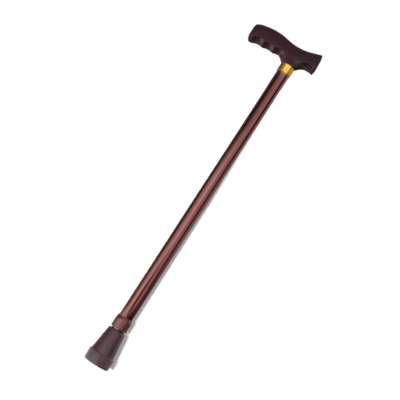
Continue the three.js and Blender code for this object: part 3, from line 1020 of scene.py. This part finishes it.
FINISHES = {f.__name__: f() for f in (
    grip_plastic, bronze_tube, bronze_nut, bare_tube, gold_trim,
    steel, ferrule_rubber, nylon, black_plastic,
)}

PIECES = [
    (make_grip, "handle_grip", "upper_shaft", "grip_plastic"),
    (make_collar_ring, "collar_ring", "upper_shaft", "gold_trim"),
    (make_outer_tube, "outer_tube", "upper_shaft", "bronze_tube"),
    (make_spigot, "handle_spigot", "upper_shaft", "black_plastic"),
    (make_screw, "handle_screw", "upper_shaft", "steel"),
    (make_washer, "screw_washer", "upper_shaft", "steel"),
    (make_pin, "spigot_pin", "upper_shaft", "steel"),
    (make_thread_bush, "thread_bush", "upper_shaft", "black_plastic"),
    (make_lock_nut, "lock_nut", "nut", "bronze_nut"),
    (make_compression_ring, "compression_ring", "clamp_ring", "nylon"),
    (make_inner_tube, "inner_tube", "lower_shaft", "bare_tube"),
    (make_glide_bush, "glide_bush", "lower_shaft", "nylon"),
    (make_snap_button, "snap_button", "button", "steel"),
    (make_leaf_spring, "button_spring", "lower_shaft", "steel"),
    (make_ferrule, "ferrule", "lower_shaft", "ferrule_rubber"),
    (make_ferrule_disc, "ferrule_disc", "lower_shaft", "steel"),
    (make_gap_shade_ring, "bumper_ring", "lower_shaft", "black_plastic"),
]

for make, node, body, finish in PIECES:
    piece = make()
    piece.data.materials.clear()
    piece.data.materials.append(FINISHES[finish])
    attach(piece, body)
    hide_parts(node)
    if node == "button_spring":
        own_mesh(piece)


# Camera: what it looks at, and from where. Azimuth 0 looks from -Y, and the roll lays the cane aslant
# as in the photo. The lens and the sensor are in millimetres.

AIM = Vector((-0.0024, 0, 0.3435))
DISTANCE = 1.525
AZIMUTH = math.radians(10)
ELEVATION = math.radians(-7)
ROLL = math.radians(32.87)
LENS = 76.04
SENSOR = 36
NEAREST, FARTHEST = 0.05, 50


def make_camera():
    data = bpy.data.cameras.new("camera")
    data.lens = LENS
    data.sensor_width = SENSOR
    camera = bpy.data.objects.new("camera", data)
    bpy.context.scene.collection.objects.link(camera)
    flat = math.cos(ELEVATION)
    towards = Vector((math.sin(AZIMUTH) * flat, -math.cos(AZIMUTH) * flat, math.sin(ELEVATION)))
    right = Vector((math.cos(AZIMUTH), math.sin(AZIMUTH), 0))
    up = towards.cross(right)
    image_right = right * math.cos(ROLL) + up * math.sin(ROLL)
    image_up = up * math.cos(ROLL) - right * math.sin(ROLL)
    turn = Matrix((image_right, image_up, towards)).transposed().to_4x4()
    camera.matrix_world = Matrix.Translation(AIM + towards * DISTANCE) @ turn
    data.clip_start, data.clip_end = NEAREST, FARTHEST
    bpy.context.scene.camera = camera


# Stage: a round floor, and a board that leans behind the cane and catches its shadow. The pairs of
# BOARD_WHITE_ABOVE and BOARD_WHITE_BEYOND are where its glow starts to rise and where it is white.

FLOOR_RADIUS = 0.6
FLOOR_SIDES = 96
FLOOR_GLOW = 0.8
FLOOR_ALBEDO = 0.35
BOARD_HALF_WIDTH = 0.6
BOARD_HEIGHT = 0.6
BOARD_TOP_GAP = 17.2 * MM
BOARD_FOOT_GAP = 80 * MM
BOARD_GLOW = 0.12
BOARD_ALBEDO = 0.85
BOARD_WHITE_ABOVE = (0.36, 0.6)
BOARD_WHITE_BEYOND = (0.12, 0.26)

# How strongly mirrors see the floor, and how much more on the cane's left within that reach: a painted pool
# of light that only mirrors see, painting a reflection on the ferrule

MIRRORED_GLOW = 0.1
PAINTED_POOL_GLOW = 1.5
PAINTED_POOL_SIDE = (0, 0.015)
PAINTED_POOL_REACH = (0.16, 0.22)


def stage_sheet(name, corners):
    obj = new_object(name, corners, [tuple(range(len(corners)))], smooth=False)
    return obj


def painted_pool_left(tree):
    """How strongly mirrors see the floor: more close to the left of the cane, in a painted pool of light
    that only mirrors see.
    """
    place = tree.nodes.new("ShaderNodeTexCoord").outputs["Object"]
    reach = tree.nodes.new("ShaderNodeVectorMath")
    reach.operation = "LENGTH"
    tree.links.new(place, reach.inputs[0])
    left = between(tree, components(tree, place)["X"], 1, 0, *PAINTED_POOL_SIDE)
    near = between(tree, reach.outputs["Value"], 1, 0, *PAINTED_POOL_REACH)
    return between(tree, maths(tree, "MULTIPLY", left, near), MIRRORED_GLOW, PAINTED_POOL_GLOW, 0, 1)


def board_glow(tree):
    """The board's glow, which rises to white towards its top and sides, where the lamps fall short."""
    place = components(tree, tree.nodes.new("ShaderNodeTexCoord").outputs["Object"])
    aside = maths(tree, "ABSOLUTE", place["X"])
    above = between(tree, place["Z"], BOARD_GLOW, 1, *BOARD_WHITE_ABOVE)
    beyond = between(tree, aside, BOARD_GLOW, 1, *BOARD_WHITE_BEYOND)
    return maths(tree, "MAXIMUM", above, beyond)


def pale_surface(name, glow, albedo):
    """White to the camera where nothing shades it, and darker in the cane's shadow.

    Returns the material, the socket of its glow, and the socket of how strongly mirrors see it.
    """
    made = bpy.data.materials.new(name)
    made.use_nodes = True
    tree = made.node_tree
    tree.nodes.clear()
    output = tree.nodes.new("ShaderNodeOutputMaterial")
    path = tree.nodes.new("ShaderNodeLightPath")
    diffuse = tree.nodes.new("ShaderNodeBsdfDiffuse")
    diffuse.inputs["Color"].default_value = (albedo, albedo, albedo, 1)
    shine = tree.nodes.new("ShaderNodeEmission")
    shine.inputs["Color"].default_value = (1, 1, 1, 1)
    shine.inputs["Strength"].default_value = glow
    both = tree.nodes.new("ShaderNodeAddShader")
    tree.links.new(diffuse.outputs[0], both.inputs[0])
    tree.links.new(shine.outputs[0], both.inputs[1])
    mirrored = between(tree, path.outputs["Is Glossy Ray"], 0, MIRRORED_GLOW, 0, 1)
    seen = maths(tree, "MAXIMUM", path.outputs["Is Camera Ray"], mirrored)
    seen = maths(tree, "MAXIMUM", seen, path.outputs["Is Transmission Ray"])
    surface = mixed(tree, seen, diffuse.outputs[0], both.outputs[0])
    tree.links.new(surface, output.inputs["Surface"])
    return made, shine.inputs["Strength"], mirrored.node.inputs["To Max"]


def make_floor():
    r = FLOOR_RADIUS
    angles = [2 * math.pi * i / FLOOR_SIDES for i in range(FLOOR_SIDES)]
    floor = stage_sheet("floor", [(r * math.cos(a), r * math.sin(a), 0) for a in angles])
    white, _, mirrored = pale_surface("floor_white", FLOOR_GLOW, FLOOR_ALBEDO)
    # The floor glows more to mirrors on the cane's left: a painted pool of light, which paints a reflection
    # on the ferrule.
    white.node_tree.links.new(painted_pool_left(white.node_tree), mirrored)
    floor.data.materials.append(white)


def make_board():
    """The board is seen from the front alone, and mirrors don't see it."""
    slope = (BOARD_FOOT_GAP - BOARD_TOP_GAP) / GRIP_SEAT
    foot_gap, top_gap = BOARD_FOOT_GAP, BOARD_FOOT_GAP - slope * BOARD_HEIGHT
    side = BOARD_HALF_WIDTH
    board = stage_sheet("board", [(-side, foot_gap, 0), (side, foot_gap, 0),
                                  (side, top_gap, BOARD_HEIGHT), (-side, top_gap, BOARD_HEIGHT)])
    white, glow, _ = pale_surface("board_white", BOARD_GLOW, BOARD_ALBEDO)
    tree = white.node_tree
    tree.links.new(board_glow(tree), glow)
    output = next(n for n in tree.nodes if n.type == "OUTPUT_MATERIAL").inputs["Surface"]
    front = output.links[0].from_socket
    facing_away = tree.nodes.new("ShaderNodeNewGeometry").outputs["Backfacing"]
    clear = tree.nodes.new("ShaderNodeBsdfTransparent").outputs[0]
    tree.links.new(mixed(tree, facing_away, front, clear), output)
    board.data.materials.append(white)
    board.visible_glossy = False


# What glossy surfaces see of the studio, in layers from the ground up: light levels by azimuth in
# degrees. Azimuth 0 is the side towards -Y, and it grows towards +X.

STUDIO_DEEP = [
    (-180, 0.1), (-150, 0.3), (-138, 2), (-122, 3), (-102, 3), (-88, 2.4), (-74, 1.8), (-50, 1.5),
    (-30, 1.5), (-6, 1.8), (20, 1), (40, 0.4), (105, 0.4), (128, 0.05), (180, 0.1),
]
STUDIO_UNDER = [
    (-180, 0.1), (-145, 0.15), (-110, 0.6), (-66, 0.8), (-46, 0.8), (-34, 0.8), (-24, 0.3), (-6, 0.2),
    (6, 2), (30, 2.5), (40, 1.3), (54, 0.6), (105, 0.5), (128, 0.05), (180, 0.1),
]
STUDIO_FOOT = [
    (-180, 0.1), (-150, 0.15), (-112, 0.22), (-90, 0.35), (-70, 0.7), (-54, 0.8), (-36, 0.8), (-9, 0.66),
    (4, 0.4), (16, 0.22), (30, 0.08), (44, 0.01), (60, 0), (112, 0), (137, 0.1), (180, 0.1),
]
STUDIO_LOW = [
    (-180, 0.08), (-152, 0.08), (-108, 0.15), (-74, 0.12), (-60, 0.45), (-46, 0.8), (-20, 0.95),
    (-9, 0.88), (-3, 0.02), (15, 0), (19, 0.25), (25, 0.37), (44, 0.48), (56, 0.3), (68, 0.1),
    (80, 0.05), (112, 0.04), (126, 0.15), (172, 0.1), (180, 0.08),
]
STUDIO_MIDDLE = [
    (-180, 0.08), (-152, 0.08), (-108, 0.1), (-84, 0.02), (-72, 0.06), (-58, 0.38), (-40, 0.58),
    (-22, 0.65), (-12, 0.95), (4, 0.95), (16, 0.6), (28, 0.45), (46, 0.4), (56, 0.3), (61, 0.06),
    (86, 0.04), (95, 0.18), (112, 0.35), (126, 0.4), (150, 0.15), (172, 0.1), (180, 0.08),
]
STUDIO_HIGH = [
    (-180, 0.3), (-162, 0.3), (-152, 0.06), (-115, 0.2), (-98, 0.15), (-86, 0.04), (-70, 0), (-52, 0.01),
    (-40, 0.1), (-28, 0.22), (-10, 0.33), (10, 0.43), (30, 0.48), (46, 0.54), (55, 0.4), (62, 0.03),
    (88, 0.02), (95, 0.14), (102, 0.3), (120, 0.45), (135, 0.4), (150, 0.15), (172, 0.1), (178, 0.3),
    (180, 0.3),
]
STUDIO_TOP = [
    (-180, 0.05), (-150, 0.05), (-110, 0.15), (-74, 0.2), (-55, 0.3), (-40, 0.44), (-25, 0.88),
    (-14, 1.12), (44, 1.12), (54, 0.75), (62, 0.38), (74, 0.3), (90, 0.4), (110, 0.55), (130, 0.45),
    (150, 0.2), (172, 0.05), (180, 0.05),
]
STUDIO_GROUND = 0.08
STUDIO_ROOF = 0.1
STUDIO_CEILING = 0.35

# Each layer over the ground, with the heights in degrees between which it takes over from the one below

STUDIO_LAYERS = [
    (STUDIO_DEEP, -57, -50),
    (STUDIO_UNDER, -34, -27),
    (STUDIO_FOOT, -9, -5),
    (STUDIO_LOW, -2.2, -1.4),
    (STUDIO_MIDDLE, 0, 4),
    (STUDIO_HIGH, 9, 13),
    (STUDIO_TOP, 17.12, 17.2),
    (STUDIO_ROOF, 18.4, 21),
    (STUDIO_CEILING, 26, 30),
]

# Strength of the world's even light on all that doesn't mirror it

WORLD_LIGHT = 0.3


def levels_around(tree, share, stops):
    """The levels of a layer all round, where share runs from 0 at azimuth -180 to 1 at 180."""
    ramp = tree.nodes.new("ShaderNodeValToRGB")
    elements = ramp.color_ramp.elements
    while len(elements) < len(stops):
        elements.new(0.5)
    for element, (azimuth, level) in zip(elements, stops):
        element.position = (azimuth + 180) / 360
        element.color = (level, level, level, 1)
    tree.links.new(share, ramp.inputs[0])
    return ramp.outputs[0]


def even_level(tree, level):
    node = tree.nodes.new("ShaderNodeRGB")
    node.outputs[0].default_value = (level, level, level, 1)
    return node.outputs[0]


def studio_levels(tree):
    """Light level of the studio in every direction."""
    direction = components(tree, tree.nodes.new("ShaderNodeTexCoord").outputs["Generated"])
    turn = maths(tree, "ARCTAN2", direction["X"], maths(tree, "MULTIPLY", direction["Y"], -1))
    share = between(tree, turn, 0, 1, -math.pi, math.pi)
    level = even_level(tree, STUDIO_GROUND)
    for layer, start, end in STUDIO_LAYERS:
        upper = levels_around(tree, share, layer) if isinstance(layer, list) else even_level(tree, layer)
        node = tree.nodes.new("ShaderNodeMix")
        node.data_type = "RGBA"
        sines = math.sin(math.radians(start)), math.sin(math.radians(end))
        tree.links.new(between(tree, direction["Z"], 0, 1, *sines), node.inputs["Factor"])
        tree.links.new(level, node.inputs["A"])
        tree.links.new(upper, node.inputs["B"])
        level = node.outputs["Result"]
    return level


def make_world():
    """Mirrors see the studio, the camera and glass see white, and all else gets a plain even light."""
    world = bpy.data.worlds.new("world")
    bpy.context.scene.world = world
    world.use_nodes = True
    tree = world.node_tree
    tree.nodes.clear()
    output = tree.nodes.new("ShaderNodeOutputWorld")
    path = tree.nodes.new("ShaderNodeLightPath")
    studio = tree.nodes.new("ShaderNodeBackground")
    tree.links.new(studio_levels(tree), studio.inputs["Color"])
    plain = tree.nodes.new("ShaderNodeBackground")
    plain.inputs["Color"].default_value = (1, 1, 1, 1)
    clear = maths(tree, "MAXIMUM", path.outputs["Is Camera Ray"], path.outputs["Is Transmission Ray"])
    tree.links.new(between(tree, clear, WORLD_LIGHT, 1, 0, 1), plain.inputs["Strength"])
    light = mixed(tree, path.outputs["Is Glossy Ray"], plain.outputs[0], studio.outputs[0])
    tree.links.new(light, output.inputs[0])


def aimed(name, data, position, target):
    """A lamp that points at its target and that mirrors don't see."""
    obj = bpy.data.objects.new(name, data)
    bpy.context.scene.collection.objects.link(obj)
    obj.location = position
    obj.rotation_mode = "QUATERNION"
    obj.rotation_quaternion = (Vector(position) - Vector(target)).to_track_quat("Z", "Y")
    obj.visible_glossy = False


def softbox(name, position, target, size, watts):
    data = bpy.data.lights.new(name, "AREA")
    data.shape = "DISK"
    data.size = size
    data.energy = watts
    aimed(name, data, position, target)


def spot(name, position, target, radius, watts, cone, blend):
    data = bpy.data.lights.new(name, "SPOT")
    data.shadow_soft_size = radius
    data.energy = watts
    data.spot_size = math.radians(cone)
    data.spot_blend = blend
    aimed(name, data, position, target)


def make_lamps():
    spot("shaft_key", position=(0.12, -1.6, 0.1), target=(0, 0, 0.15), radius=0.05, watts=90,
         cone=32, blend=0.8)
    spot("grip_key", position=(-0.95, -0.22, 0.2), target=(-0.035, 0, 0.68), radius=0.12, watts=60,
         cone=15, blend=0.5)
    softbox("top_fill", position=(0.1, -1.1, 1.7), target=(0, 0, 0.4), size=0.8, watts=6)


make_camera()
make_floor()
make_board()
make_world()
make_lamps()

bpy.context.scene.view_settings.view_transform = "Standard"
